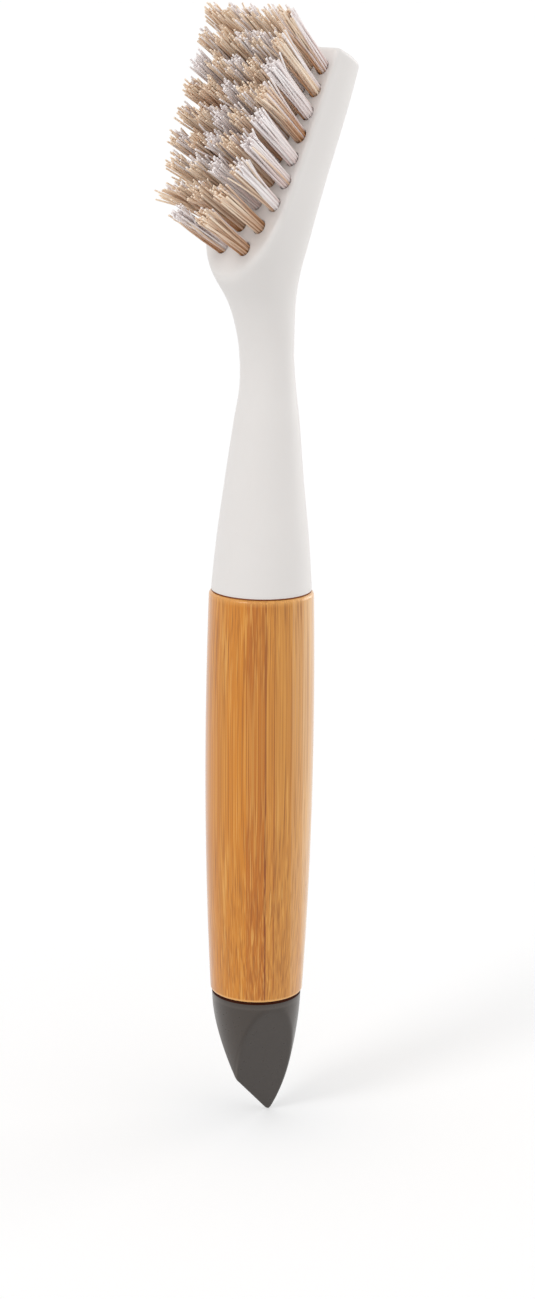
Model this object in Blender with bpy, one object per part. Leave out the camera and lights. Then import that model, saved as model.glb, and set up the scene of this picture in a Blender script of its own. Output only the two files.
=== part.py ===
"""Crevice brush, standing head up: a white moulded head on a bamboo grip, with a scraper tip below.

The head, its neck and its collar are one moulding. Its slanted flat face holds 39 tufts, each in a
drilled hole of its own. Below the collar a ribbed spigot sits in the bored bamboo grip, and the scraper
tip has a like spigot in the grip's lower end. Nothing on the brush moves.

Metres, +Z up along the grip, bristles towards -Y, origin in the middle of the bamboo grip.
"""

import math
import random

import bmesh
import bpy
from mathutils import Euler, Matrix, Vector
from mathutils.geometry import delaunay_2d_cdt

# Gap left where two pieces butt against each other
SEAM = 0.0003

# Bamboo grip: a barrel turned on the axis, its widest ring measured from the lower end
GRIP_LENGTH = 0.0759
GRIP_DIAMETER = 0.0198
GRIP_TOP_DIAMETER = 0.0192
GRIP_BOTTOM_DIAMETER = 0.0171
GRIP_WIDEST_HEIGHT = 0.0477
GRIP_TOP_ROUNDING = 0.0008
GRIP_BOTTOM_ROUNDING = 0.0004

# Spigots moulded under the head and on the scraper, with crush ribs that wedge in the bores
SPIGOT_DIAMETER = 0.0116
HEAD_SPIGOT_LENGTH = 0.0250
SCRAPER_SPIGOT_LENGTH = 0.0180
SPIGOT_CHAMFER = 0.0010
CRUSH_RIBS = 6
CRUSH_RIB_HEIGHT = 0.0003
BORE_CLEARANCE = 0.0002
BORE_SPARE_DEPTH = 0.0015

# Head moulding: its collar stands just inside the grip's end, and heights start at the collar's edge
COLLAR_INSET = 0.0005
NECK_DIAMETER = 0.0097
NECK_SET_BACK = 0.00093
WAIST_HEIGHT = 0.0414
FLARE_HEIGHT = 0.0150
HEEL_REACH = 0.0103
HEEL_BACK = 0.0060
HEEL_WIDTH = 0.0131
HEAD_WIDTH = 0.0195
BACK_DEPTH = 0.0120
TOE_BACK_DEPTH = 0.0104
WIDEST_BEHIND_FACE = 0.0010
FACE_LEAN = math.radians(24.45)
FACE_LENGTH = 0.0431
HEAD_EDGE_ROUNDING = 0.0008
CUT_OVERRUN = 0.0030

# Neck sections, from collar to waist: shares of the height, of the taper and of the set-back
NECK_SECTIONS = ((0.21, 0.175, 0.15), (0.47, 0.47, 0.36), (0.73, 0.76, 0.80),
                 (0.87, 0.95, 0.96), (1.0, 1.0, 0.62))
# Flare sections, from waist to heel: shares of the height, the widening, the forward and the backward swell
FLARE_SECTIONS = ((0.33, 0.06, 0.16, 0.1), (0.68, 0.32, 0.50, 0.33), (1.0, 1.0, 1.0, 1.0))
# Head sections, from heel to toe: shares of the height, of the widening and of the shift of the widest line
# towards the face, then of the thinning to the back's depth and of the squaring
HEAD_SECTIONS = ((0.12, 0.52, 0.37, 0.36, 0.12), (0.26, 0.84, 0.64, 0.77, 0.55),
                 (0.42, 0.95, 0.86, 0.95, 0.80))
ROUND = 2.0
FLARE_SQUARENESS = 2.2
HEAD_SQUARENESS = 3.0
THINNING_START = 0.60

# Tufts stand in level rows, counted from the toe, and the rows widen from the heel
TUFTS_IN_ROWS = (5, 5, 5, 5, 5, 5, 4, 3, 2)
HEEL_ROW_SPREAD = 0.0054
ROW_WIDENING = math.radians(24.1)
TOE_MARGIN = 0.0039
HEEL_MARGIN = 0.0055
SIDE_MARGIN = 0.0025
HOLE_DIAMETER = 0.0027
HOLE_DEPTH = 0.0050
ROOT_CLEARANCE = 0.0002
ROOT_SUNK = 0.0004
TOE_TUFT_LENGTH = 0.0144
HEEL_TUFT_LENGTH = 0.0120
TOE_TUFT_LEAN = math.radians(15.5)
HEEL_TUFT_LEAN = math.radians(6.8)
SIDE_TUFT_LEAN = math.radians(7.5)

# Strands: a few coarse ones stand for the fine filaments of each tuft, in two rings
STRAND_SIDES = 3
STRAND_RADIUS = 0.00021
STRAND_INSET = 0.00006
OUTER_STRANDS = 7
INNER_STRANDS = 3
INNER_RING_SHARE = 0.43
STRAND_SPREAD = 1.45
STRAND_SCATTER = 0.0007

# Scraper tip: an ogive cut by two flats that meet in a slanted edge, its point to the back
SCRAPER_INSET = 0.00025
OGIVE_LENGTH = 0.0324
OGIVE_LOFTED = 0.97
OGIVE_POWER = 1.73
OGIVE_SET_BACK = 0.0013
BLADE_EDGE_DROP = 0.0226
BLADE_EDGE_SLOPE = math.radians(43.3)
BLADE_HALF_ANGLE = math.radians(31.3)
SCRAPER_EDGE_ROUNDING = 0.00025

# Fineness of the round forms
RING_POINTS = 48
GRIP_POINTS = 40
HOLE_POINTS = 12
SECTION_STEP = 0.0030
OGIVE_STEP = 0.0022
BARREL_STEPS = 12
ROUNDING_STEPS = 3

# Sizes that follow from the ones above
GRIP_TOP = GRIP_LENGTH / 2
GRIP_BOTTOM = -GRIP_LENGTH / 2
COLLAR_EDGE = GRIP_TOP + SEAM
COLLAR_RADIUS = GRIP_TOP_DIAMETER / 2 - COLLAR_INSET
SCRAPER_TOP = GRIP_BOTTOM - SEAM
SCRAPER_RADIUS = GRIP_BOTTOM_DIAMETER / 2 - SCRAPER_INSET
BORE_RADIUS = SPIGOT_DIAMETER / 2 + CRUSH_RIB_HEIGHT + BORE_CLEARANCE
HEEL_HEIGHT = WAIST_HEIGHT + FLARE_HEIGHT
FACE_RISE = FACE_LENGTH * math.cos(FACE_LEAN)


def mix(low, high, share):
    """Value a share of the way from low to high."""
    return low + (high - low) * share


def new_material(name, colour, roughness):
    """Principled material from a colour in linear values."""
    material = bpy.data.materials.new(name)
    material.use_nodes = True
    shader = material.node_tree.nodes["Principled BSDF"]
    shader.inputs["Base Color"].default_value = (*colour, 1.0)
    shader.inputs["Roughness"].default_value = roughness
    return material


def add_object(name, bm, material, sharp_angle=35.0):
    """Object from a bmesh, smooth but for its sharp edges."""
    bmesh.ops.recalc_face_normals(bm, faces=bm.faces)
    mesh = bpy.data.meshes.new(name)
    bm.to_mesh(mesh)
    bm.free()
    mesh.materials.append(material)
    mesh.shade_smooth()
    mesh.set_sharp_from_angle(angle=math.radians(sharp_angle))
    obj = bpy.data.objects.new(name, mesh)
    bpy.context.scene.collection.objects.link(obj)
    return obj


def add_empty(name, location, rotation):
    """Empty that carries the pieces placed on a slanted face."""
    empty = bpy.data.objects.new(name, None)
    empty.location = location
    empty.rotation_euler = rotation
    bpy.context.scene.collection.objects.link(empty)
    return empty


def through(stations, height):
    """Smooth curve through rows of values, the first value of each being its height."""
    rows = sorted(stations)
    last = len(rows) - 2
    k = max(i for i in range(last + 1) if i == 0 or rows[i][0] <= height)
    before, start, end, after = rows[max(k - 1, 0)], rows[k], rows[k + 1], rows[min(k + 2, last + 1)]
    span = end[0] - start[0]
    t = (height - start[0]) / span
    values = []
    for a, b, c, d in zip(before, start, end, after):
        slope_in = (c - a) / (end[0] - before[0]) * span
        slope_out = (d - b) / (after[0] - start[0]) * span
        values.append(b * (1 + 2 * t) * (1 - t) ** 2 + slope_in * t * (1 - t) ** 2
                      + c * t * t * (3 - 2 * t) + slope_out * t * t * (t - 1))
    return values[1:]


def ring(height, half_width, middle, half_depth, squareness):
    """Points of a level section: a superellipse about (0, middle), squarer as its power rises."""
    points = []
    for i in range(RING_POINTS):
        angle = 2 * math.pi * i / RING_POINTS
        across = math.copysign(abs(math.cos(angle)) ** (2 / squareness), math.cos(angle))
        along = math.copysign(abs(math.sin(angle)) ** (2 / squareness), math.sin(angle))
        points.append((half_width * across, middle + half_depth * along, height))
    return points


def ribbed_ring(height, radius, rib):
    """Round section with evenly spaced points that stand out as the crests of the crush ribs."""
    points = []
    rib_step = RING_POINTS // CRUSH_RIBS
    for i in range(RING_POINTS):
        angle = 2 * math.pi * i / RING_POINTS
        reach = radius + (rib if i % rib_step == rib_step // 2 else 0.0)
        points.append((reach * math.cos(angle), reach * math.sin(angle), height))
    return points


def spigot_rings(shoulder, length):
    """Sections of a ribbed spigot from its shoulder to its chamfered end; a negative length runs down."""
    radius = SPIGOT_DIAMETER / 2
    way = math.copysign(1.0, length)
    end = shoulder + length
    return [ribbed_ring(shoulder, radius, CRUSH_RIB_HEIGHT),
            ribbed_ring(end - way * 2 * SPIGOT_CHAMFER, radius, CRUSH_RIB_HEIGHT),
            ribbed_ring(end - way * SPIGOT_CHAMFER, radius, 0.0),
            ribbed_ring(end, radius - SPIGOT_CHAMFER, 0.0)]


def loft(rings):
    """Closed solid through rings of equal count, given from the lowest to the highest."""
    bm = bmesh.new()
    rows = [[bm.verts.new(p) for p in points] for points in rings]
    for low, high in zip(rows, rows[1:]):
        for i in range(RING_POINTS):
            j = (i + 1) % RING_POINTS
            bm.faces.new((low[i], low[j], high[j], high[i]))
    bm.faces.new(reversed(rows[0]))
    bm.faces.new(rows[-1])
    return bm


def slice_off(bm, point, normal, merge):
    """Cut away what lies beyond a plane, close the cut flat and join rim points nearer than merge."""
    geometry = bm.verts[:] + bm.edges[:] + bm.faces[:]
    cut = bmesh.ops.bisect_plane(bm, geom=geometry, dist=1e-7, plane_co=point, plane_no=normal,
                                 clear_outer=True)
    rim_verts = [v for v in cut["geom_cut"] if isinstance(v, bmesh.types.BMVert)]
    bmesh.ops.remove_doubles(bm, verts=rim_verts, dist=merge)
    bmesh.ops.contextual_create(bm, geom=[e for e in bm.edges if e.is_boundary])


def round_edges(bm, edges, radius):
    """Round the given edges with two facets each."""
    bmesh.ops.bevel(bm, geom=edges, offset=radius, offset_type='OFFSET', segments=2, profile=0.5,
                    affect='EDGES', clamp_overlap=True)


def plane_edges(bm, point, normal):
    """Edges that lie in a plane."""
    return [e for e in bm.edges if all(abs((v.co - point).dot(normal)) < 1e-6 for v in e.verts)]


# Slanted face of the head: its own frame has X across, Y up towards the toe and Z out of the face
HEEL_POINT = Vector((0.0, -HEEL_REACH, COLLAR_EDGE + HEEL_HEIGHT))
FACE_TURN = Euler((math.pi / 2 - FACE_LEAN, 0.0, 0.0))
FACE_UP = FACE_TURN.to_matrix() @ Vector((0.0, 1.0, 0.0))
FACE_OUT = FACE_TURN.to_matrix() @ Vector((0.0, 0.0, 1.0))
TOE_POINT = HEEL_POINT + FACE_UP * FACE_LENGTH


def face_depth(height):
    """Y of the slanted face at a height above the collar's edge."""
    return -HEEL_REACH + (height - HEEL_HEIGHT) * math.tan(FACE_LEAN)


def head_stations():
    """Sections of the moulding: height, half width, middle, half depth and squareness.

    A round tapering collar and neck, then a flare forwards and sideways into a squarer head whose
    rounded back stays behind the slanted face.
    """
    neck = NECK_DIAMETER / 2
    stations = [(0.0, COLLAR_RADIUS, 0.0, COLLAR_RADIUS, ROUND)]
    for rise, taper, set_back in NECK_SECTIONS:
        radius = mix(COLLAR_RADIUS, neck, taper)
        stations.append((WAIST_HEIGHT * rise, radius, NECK_SET_BACK * set_back, radius, ROUND))

    waist_middle = stations[-1][2]
    for rise, widening, forwards, backwards in FLARE_SECTIONS:
        half_width = mix(neck, HEEL_WIDTH / 2, widening)
        front = mix(waist_middle - neck, -HEEL_REACH, forwards)
        back = mix(waist_middle + neck, HEEL_BACK, backwards)
        stations.append((WAIST_HEIGHT + FLARE_HEIGHT * rise, half_width, (front + back) / 2,
                         (back - front) / 2, mix(ROUND, FLARE_SQUARENESS, widening)))

    heel_depth = HEEL_REACH + HEEL_BACK
    for rise, widening, shift, thinning, squaring in HEAD_SECTIONS:
        height = HEEL_HEIGHT + FACE_RISE * rise
        behind = mix(heel_depth / 2, WIDEST_BEHIND_FACE, shift)
        stations.append((height, mix(HEEL_WIDTH, HEAD_WIDTH, widening) / 2, face_depth(height) + behind,
                         mix(heel_depth, BACK_DEPTH, thinning) - behind,
                         mix(FLARE_SQUARENESS, HEAD_SQUARENESS, squaring)))
    for rise in (mix(THINNING_START, 1.0, 0.3), 1.0, 1.0 + CUT_OVERRUN / FACE_RISE):
        height = HEEL_HEIGHT + FACE_RISE * rise
        depth = mix(BACK_DEPTH, TOE_BACK_DEPTH, min((rise - THINNING_START) / (1.0 - THINNING_START), 1.0))
        stations.append((height, HEAD_WIDTH / 2, face_depth(height) + WIDEST_BEHIND_FACE,
                         depth - WIDEST_BEHIND_FACE, HEAD_SQUARENESS))
    return stations


def tuft_places():
    """Where each tuft stands: name, place and turn in the face's frame, and length out of the face."""
    full_spread = HEAD_WIDTH - 2 * SIDE_MARGIN
    run = FACE_LENGTH - TOE_MARGIN - HEEL_MARGIN
    places = []
    for row, count in enumerate(TUFTS_IN_ROWS):
        down = row / (len(TUFTS_IN_ROWS) - 1)
        above_heel_row = run * (1 - down)
        spread = min(full_spread, HEEL_ROW_SPREAD + 2 * above_heel_row * math.tan(ROW_WIDENING))
        lean = mix(TOE_TUFT_LEAN, HEEL_TUFT_LEAN, down)
        length = mix(TOE_TUFT_LENGTH, HEEL_TUFT_LENGTH, down)
        for column in range(count):
            x = spread * (column / (count - 1) - 0.5)
            place = Vector((x, FACE_LENGTH - TOE_MARGIN - run * down, 0.0))
            turn = Euler((-lean, 2 * SIDE_TUFT_LEAN * x / full_spread, 0.0))
            places.append((f"tuft_r{row + 1}_c{column + 1}", place, turn, length))
    return places


def build_head(material):
    """Head, neck, collar and spigot in one moulding, cut flat at the face and the toe, then drilled."""
    stations = head_stations()
    top = stations[-1][0]
    steps = math.ceil(top / SECTION_STEP)
    heights = [top * i / steps for i in range(steps + 1)]
    rings = list(reversed(spigot_rings(COLLAR_EDGE, -HEAD_SPIGOT_LENGTH)))
    rings += [ring(COLLAR_EDGE + h, *through(stations, h)) for h in heights]
    bm = loft(rings)
    slice_off(bm, HEEL_POINT, FACE_OUT, HEAD_EDGE_ROUNDING / 2)
    slice_off(bm, TOE_POINT, FACE_UP, HEAD_EDGE_ROUNDING / 2)
    rim = set(plane_edges(bm, HEEL_POINT, FACE_OUT)) | set(plane_edges(bm, TOE_POINT, FACE_UP))
    round_edges(bm, list(rim), HEAD_EDGE_ROUNDING)
    head = add_object("brush_head", bm, material)
    drill = head.modifiers.new("tuft_holes", 'BOOLEAN')
    drill.operation = 'DIFFERENCE'
    drill.solver = 'EXACT'
    drill.object = hole_cutter(material)
    return head


def hole_cutter(material):
    """Drill bits for all the tuft holes, each along its own tuft's axis."""
    bm = bmesh.new()
    face = Matrix.Translation(HEEL_POINT) @ FACE_TURN.to_matrix().to_4x4()
    radius = HOLE_DIAMETER / 2
    above = HOLE_DIAMETER
    middle = Matrix.Translation((0.0, 0.0, (above - HOLE_DEPTH) / 2))
    for _name, place, turn, _length in tuft_places():
        bit = face @ Matrix.Translation(place) @ turn.to_matrix().to_4x4()
        bmesh.ops.create_cone(bm, cap_ends=True, segments=HOLE_POINTS, radius1=radius, radius2=radius,
                              depth=HOLE_DEPTH + above, matrix=bit @ middle)
    cutter = add_object("tuft_hole_cutter", bm, material)
    cutter.hide_render = True
    cutter.display_type = 'WIRE'
    return cutter


def circle(radius, count, centre=Vector((0.0, 0.0)), turn=0.0):
    """Points spaced evenly round a circle in the plane."""
    angles = [turn + 2 * math.pi * k / count for k in range(count)]
    return [centre + Vector((radius * math.cos(angle), radius * math.sin(angle))) for angle in angles]


def strand_places(root_radius):
    """Middle and turn of each strand: an outer ring just inside the root's rim, and an inner ring."""
    outer = root_radius * math.cos(math.pi / HOLE_POINTS) - STRAND_RADIUS - STRAND_INSET
    places = []
    for count, reach in ((INNER_STRANDS, outer * INNER_RING_SHARE), (OUTER_STRANDS, outer)):
        first_turn = math.pi / count
        for k, centre in enumerate(circle(reach, count, turn=first_turn)):
            places.append((centre, first_turn + 2 * math.pi * k / count))
    return places


def build_tuft(name, place, turn, length, parent, material, chance):
    """One tuft: the potted root that fills its hole, and the strands that rise and spread from it.

    The root's top is a flat net of triangles between its rim and the strands' sections, so that each
    strand grows out of the root as one body.
    """
    root_radius = HOLE_DIAMETER / 2 - ROOT_CLEARANCE
    strands = strand_places(root_radius)
    outline = circle(root_radius, HOLE_POINTS)
    flat = list(outline)
    loops = []
    for centre, angle in strands:
        loops.append(range(len(flat), len(flat) + STRAND_SIDES))
        flat += circle(STRAND_RADIUS, STRAND_SIDES, centre, angle)
    borders = [range(HOLE_POINTS)] + loops
    edges = [(loop[k], loop[(k + 1) % len(loop)]) for loop in borders for k in range(len(loop))]
    net = delaunay_2d_cdt(flat, edges, [], 1, 1e-9)[2]
    sections = [frozenset(loop) for loop in loops]

    bm = bmesh.new()
    rim = [bm.verts.new((p.x, p.y, -ROOT_SUNK)) for p in flat]
    foot = [bm.verts.new((p.x, p.y, ROOT_CLEARANCE - HOLE_DEPTH)) for p in outline]
    for triangle in net:
        if frozenset(triangle) not in sections:
            bm.faces.new([rim[i] for i in triangle])
    for k in range(HOLE_POINTS):
        j = (k + 1) % HOLE_POINTS
        bm.faces.new((foot[k], foot[j], rim[j], rim[k]))
    bm.faces.new(reversed(foot))
    for loop, (centre, angle) in zip(loops, strands):
        reach = length + chance.uniform(-STRAND_SCATTER, STRAND_SCATTER)
        end = circle(STRAND_RADIUS, STRAND_SIDES, centre * STRAND_SPREAD, angle)
        tips = [bm.verts.new((p.x, p.y, reach)) for p in end]
        for k in range(STRAND_SIDES):
            j = (k + 1) % STRAND_SIDES
            bm.faces.new((rim[loop[k]], rim[loop[j]], tips[j], tips[k]))
        bm.faces.new(tips)
    tuft = add_object(name, bm, material, sharp_angle=50.0)
    tuft.parent = parent
    tuft.location = place
    tuft.rotation_euler = turn
    return tuft


def grip_radius(height):
    """Barrel radius at a height above the grip's lower end: two parabolas that meet at the widest ring."""
    if height < GRIP_WIDEST_HEIGHT:
        end, way = GRIP_BOTTOM_DIAMETER, (GRIP_WIDEST_HEIGHT - height) / GRIP_WIDEST_HEIGHT
    else:
        end, way = GRIP_TOP_DIAMETER, (height - GRIP_WIDEST_HEIGHT) / (GRIP_LENGTH - GRIP_WIDEST_HEIGHT)
    return mix(GRIP_DIAMETER, end, way * way) / 2


def build_grip(material):
    """Turned barrel with a blind bore in each end for the spigots, spun from half its outline."""
    lower_floor = SCRAPER_SPIGOT_LENGTH - SEAM + BORE_SPARE_DEPTH
    upper_floor = GRIP_LENGTH - (HEAD_SPIGOT_LENGTH - SEAM + BORE_SPARE_DEPTH)
    low = GRIP_BOTTOM_ROUNDING
    high = GRIP_LENGTH - GRIP_TOP_ROUNDING
    profile = [(0.0, lower_floor), (BORE_RADIUS, lower_floor), (BORE_RADIUS, 0.0)]
    for k in range(ROUNDING_STEPS + 1):
        angle = math.pi / 2 * k / ROUNDING_STEPS
        profile.append((grip_radius(low) - GRIP_BOTTOM_ROUNDING * (1 - math.sin(angle)),
                        low - GRIP_BOTTOM_ROUNDING * math.cos(angle)))
    for k in range(1, BARREL_STEPS):
        height = mix(low, high, k / BARREL_STEPS)
        profile.append((grip_radius(height), height))
    for k in range(ROUNDING_STEPS + 1):
        angle = math.pi / 2 * k / ROUNDING_STEPS
        profile.append((grip_radius(high) - GRIP_TOP_ROUNDING * (1 - math.cos(angle)),
                        high + GRIP_TOP_ROUNDING * math.sin(angle)))
    profile += [(BORE_RADIUS, GRIP_LENGTH), (BORE_RADIUS, upper_floor), (0.0, upper_floor)]
    bm = bmesh.new()
    verts = [bm.verts.new((radius, 0.0, GRIP_BOTTOM + height)) for radius, height in profile]
    edges = [bm.edges.new(pair) for pair in zip(verts, verts[1:])]
    bmesh.ops.spin(bm, geom=verts + edges, axis=(0.0, 0.0, 1.0), cent=(0.0, 0.0, 0.0), angle=2 * math.pi,
                   steps=GRIP_POINTS, use_merge=True)
    bmesh.ops.remove_doubles(bm, verts=bm.verts, dist=1e-6)
    return add_object("bamboo_handle", bm, material)


def build_scraper(material):
    """Ogive with its spigot, cut by two flats that meet in a slanted scraping edge.

    The ogive is lofted almost to its point, which the flats always cut away.
    """
    lofted = OGIVE_LOFTED * OGIVE_LENGTH
    steps = math.ceil(lofted / OGIVE_STEP)
    rings = []
    for k in range(steps, -1, -1):
        drop = lofted * k / steps
        narrowing = (drop / OGIVE_LENGTH) ** OGIVE_POWER
        radius = SCRAPER_RADIUS * (1 - narrowing)
        rings.append(ring(SCRAPER_TOP - drop, radius, OGIVE_SET_BACK * narrowing, radius, ROUND))
    bm = loft(rings + spigot_rings(SCRAPER_TOP, SCRAPER_SPIGOT_LENGTH))
    edge_point = Vector((0.0, 0.0, SCRAPER_TOP - BLADE_EDGE_DROP))
    down = Vector((0.0, -math.sin(BLADE_EDGE_SLOPE), -math.cos(BLADE_EDGE_SLOPE)))
    normals = [Vector((side * math.cos(BLADE_HALF_ANGLE), 0.0, 0.0)) + down * math.sin(BLADE_HALF_ANGLE)
               for side in (1.0, -1.0)]
    for normal in normals:
        slice_off(bm, edge_point, normal, SCRAPER_EDGE_ROUNDING / 2)
    rim = {e for normal in normals for e in plane_edges(bm, edge_point, normal)}
    round_edges(bm, list(rim), SCRAPER_EDGE_ROUNDING)
    return add_object("scraper_tip", bm, material)


for leftover in list(bpy.data.objects):
    bpy.data.objects.remove(leftover, do_unlink=True)

white_plastic = new_material("white_plastic", (0.74, 0.72, 0.69), 0.42)
bamboo = new_material("bamboo", (0.60, 0.30, 0.085), 0.50)
grey_plastic = new_material("grey_plastic", (0.090, 0.078, 0.070), 0.45)
bristle_nylon = new_material("bristle_nylon", (0.58, 0.44, 0.32), 0.50)

build_head(white_plastic)
build_grip(bamboo)
build_scraper(grey_plastic)
bristle_face = add_empty("bristle_face", HEEL_POINT, FACE_TURN)
length_scatter = random.Random(39)
for tuft_name, tuft_place, tuft_turn, tuft_length in tuft_places():
    build_tuft(tuft_name, tuft_place, tuft_turn, tuft_length, bristle_face, bristle_nylon, length_scatter)
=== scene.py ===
"""Crevice brush: bamboo grip, white moulded head, bristle tufts and grey scraper tip."""

import math

import bpy
import numpy as np
from mathutils import Euler, Matrix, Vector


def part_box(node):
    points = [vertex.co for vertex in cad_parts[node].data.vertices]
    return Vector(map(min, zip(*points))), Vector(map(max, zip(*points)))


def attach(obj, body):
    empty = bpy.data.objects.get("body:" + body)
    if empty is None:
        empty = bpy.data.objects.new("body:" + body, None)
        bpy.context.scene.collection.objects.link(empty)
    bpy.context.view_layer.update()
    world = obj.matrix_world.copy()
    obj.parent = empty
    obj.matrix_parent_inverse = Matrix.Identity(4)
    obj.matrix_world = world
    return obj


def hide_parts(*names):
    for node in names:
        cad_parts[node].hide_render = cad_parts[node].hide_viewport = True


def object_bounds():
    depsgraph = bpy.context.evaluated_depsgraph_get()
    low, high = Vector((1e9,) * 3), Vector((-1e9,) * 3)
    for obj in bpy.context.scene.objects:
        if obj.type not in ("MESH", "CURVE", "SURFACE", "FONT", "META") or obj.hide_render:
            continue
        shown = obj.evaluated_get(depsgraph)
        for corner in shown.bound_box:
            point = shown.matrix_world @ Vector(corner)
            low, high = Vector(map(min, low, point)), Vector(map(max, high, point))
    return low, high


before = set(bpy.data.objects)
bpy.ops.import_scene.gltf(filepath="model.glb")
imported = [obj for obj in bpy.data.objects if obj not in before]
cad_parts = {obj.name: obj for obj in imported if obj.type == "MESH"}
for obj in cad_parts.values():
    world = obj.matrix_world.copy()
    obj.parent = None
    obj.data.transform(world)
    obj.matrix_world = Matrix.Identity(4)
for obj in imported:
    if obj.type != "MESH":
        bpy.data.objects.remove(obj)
cad_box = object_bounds()

# Bamboo grip
# A barrel turned from a blank of bamboo strips glued side by side, then sanded and oiled. Each end is
# bored for a spigot, and its rims are rounded over.
MM = 0.001
GRIP_LOW, GRIP_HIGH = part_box("bamboo_handle")
# Both seams show a little lower than the ends of the grip's solid
UPPER_SEAM_DROP = 0.3 * MM
LOWER_SEAM_DROP = 0.6 * MM
GRIP_TOP = GRIP_HIGH.z - UPPER_SEAM_DROP
GRIP_BOTTOM = GRIP_LOW.z - LOWER_SEAM_DROP
GRIP_LENGTH = GRIP_TOP - GRIP_BOTTOM
GRIP_RADIUS = 9.9 * MM
GRIP_TOP_RADIUS = 9.5 * MM
GRIP_BOTTOM_RADIUS = 8.55 * MM
GRIP_WIDEST_HEIGHT = 48.3 * MM
GRIP_TOP_ROUNDING = 0.8 * MM
GRIP_BOTTOM_ROUNDING = 0.4 * MM
BORE_RADIUS = 6.3 * MM
SEAM = 0.3 * MM
HEAD_SPIGOT_LENGTH = 25.0 * MM
SCRAPER_SPIGOT_LENGTH = 18.0 * MM
BORE_SPARE_DEPTH = 1.5 * MM
GRIP_COLUMNS = 160
BARREL_ROWS = 90
RIM_ROWS = 9
SHARP_EDGE = math.radians(35)


def barrel(height):
    """Radius at a height above the grip's lower end: two parabolas that meet at the widest ring."""
    below = (1 - height / GRIP_WIDEST_HEIGHT) ** 2
    above = ((height - GRIP_WIDEST_HEIGHT) / (GRIP_LENGTH - GRIP_WIDEST_HEIGHT)) ** 2
    return np.where(height < GRIP_WIDEST_HEIGHT,
                    GRIP_RADIUS + (GRIP_BOTTOM_RADIUS - GRIP_RADIUS) * below,
                    GRIP_RADIUS + (GRIP_TOP_RADIUS - GRIP_RADIUS) * above)


def grip_profile():
    """Radii and heights from the floor of the lower bore, out over both rims, to the upper bore's floor.

    The rims are quarter circles: sine and cosine of the same turn, times the rounding.
    """
    turn = np.linspace(0, np.pi / 2, RIM_ROWS)
    low, high = GRIP_BOTTOM_ROUNDING, GRIP_LENGTH - GRIP_TOP_ROUNDING
    side = np.linspace(low, high, BARREL_ROWS)[1:-1]
    lower_floor = SCRAPER_SPIGOT_LENGTH - SEAM + BORE_SPARE_DEPTH
    upper_floor = GRIP_LENGTH - (HEAD_SPIGOT_LENGTH - SEAM + BORE_SPARE_DEPTH)
    bore = [BORE_RADIUS, BORE_RADIUS]
    radii = [bore, barrel(low) - GRIP_BOTTOM_ROUNDING * (1 - np.sin(turn)), barrel(side),
             barrel(high) - GRIP_TOP_ROUNDING * (1 - np.cos(turn)), bore]
    heights = [[lower_floor, 0.0], low - GRIP_BOTTOM_ROUNDING * np.cos(turn), side,
               high + GRIP_TOP_ROUNDING * np.sin(turn), [GRIP_LENGTH, upper_floor]]
    return np.concatenate(radii), GRIP_BOTTOM + np.concatenate(heights)


def around(columns):
    """Angles evenly spaced round a circle."""
    return 2 * np.pi * np.arange(columns) / columns


def turned(radii, heights, angles):
    """Rings (rows, columns, 3): radius times cosine and sine of each angle, and height.

    A ring has one radius, or one for each angle.
    """
    radii = radii.reshape(len(radii), -1)
    return np.stack((radii * np.cos(angles), radii * np.sin(angles),
                     heights[:, None] + 0 * angles), axis=-1)


def skin(rings):
    """Points and faces of closed tubes through rings (..., rows, columns, 3), capped by flat polygons.

    Each ring is joined to the next by quads. A tube faces outwards where its columns turn to the left
    as seen from its last ring.
    """
    rows, columns = rings.shape[-3:-1]
    points = rings.reshape(-1, 3)
    index = np.arange(len(points)).reshape(-1, rows, columns)
    beside = np.roll(index, -1, axis=2)
    quads = np.stack((index[:, :-1], beside[:, :-1], beside[:, 1:], index[:, 1:]), axis=-1)
    return points, quads.reshape(-1, 4).tolist() + index[:, 0, ::-1].tolist() + index[:, -1].tolist()


def add_mesh(name, points, faces, materials, sharp=SHARP_EDGE):
    """Smooth piece of points and faces, hard where two faces meet at more than the sharp angle."""
    mesh = bpy.data.meshes.new(name)
    mesh.from_pydata(points.tolist(), [], faces)
    for material in materials:
        mesh.materials.append(material)
    mesh.shade_smooth()
    mesh.set_sharp_from_angle(angle=sharp)
    piece = bpy.data.objects.new(name, mesh)
    bpy.context.scene.collection.objects.link(piece)
    return piece


def colour(code):
    """Linear RGBA of an sRGB hex value: a line near black, and a power curve above it."""
    shares = np.array([int(code[k:k + 2], 16) for k in (1, 3, 5)]) / 255
    linear = np.where(shares <= 0.04045, shares / 12.92, ((shares + 0.055) / 1.055) ** 2.4)
    return (*linear.tolist(), 1.0)


def feed(node, inputs):
    """Gives each of a node's inputs a value, or a link from another node's output."""
    sockets = {socket.identifier: socket for socket in node.inputs}
    for name, value in inputs.items():
        if isinstance(value, bpy.types.NodeSocket):
            node.id_data.links.new(value, sockets[name])
        else:
            sockets[name].default_value = value


def add_node(owner, kind, output, inputs, **settings):
    """Adds a shader node with its settings, feeds its inputs, and returns the named output."""
    node = owner.node_tree.nodes.new(kind)
    for name, value in settings.items():
        setattr(node, name, value)
    feed(node, inputs)
    return next(socket for socket in node.outputs if socket.identifier == output)


def new_material(name):
    """Material with nodes, and its Principled shader."""
    material = bpy.data.materials.new(name)
    material.use_nodes = True
    return material, material.node_tree.nodes["Principled BSDF"]


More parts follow.
